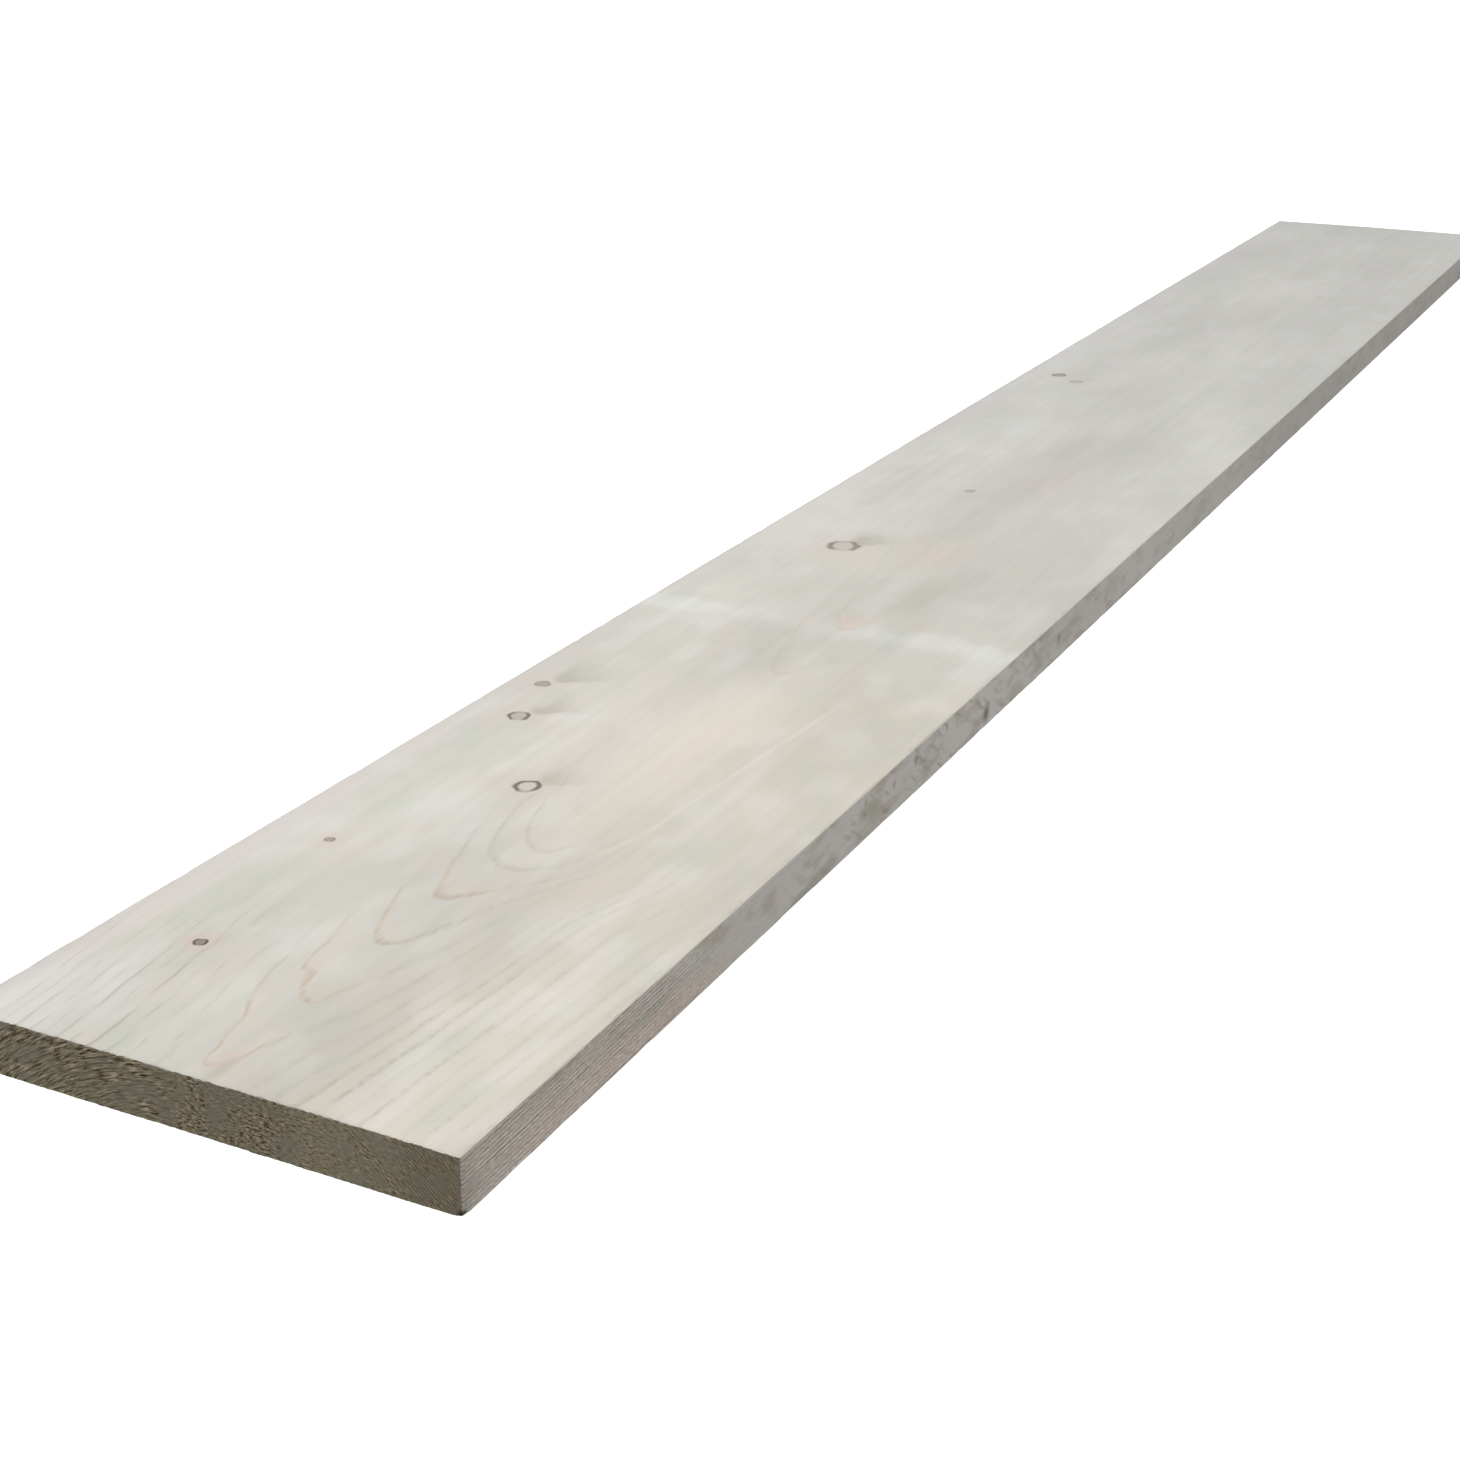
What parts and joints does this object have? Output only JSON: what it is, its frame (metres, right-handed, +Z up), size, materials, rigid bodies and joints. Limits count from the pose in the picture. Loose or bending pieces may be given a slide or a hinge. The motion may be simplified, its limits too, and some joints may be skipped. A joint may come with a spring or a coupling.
{
  "type": "timber plank",
  "caption": "Straight sawn softwood plank with a pale grey wash, pin knots, eased long edges and square-cut ends, for cladding, shelving and general building work.",
  "frame": {"origin": "on the floor under the middle of the board, at the centre of its underside", "axes": "+X along the board's length and grain, +Y across its width, +Z up through its thickness"},
  "size_m": [1.8, 0.2, 0.022],
  "materials": {
    "washed_softwood": "sawn softwood under a thin pale grey wash, matt"
  },
  "bodies": {
    "root": {"plank": "washed_softwood"}
  },
  "joints": []
}
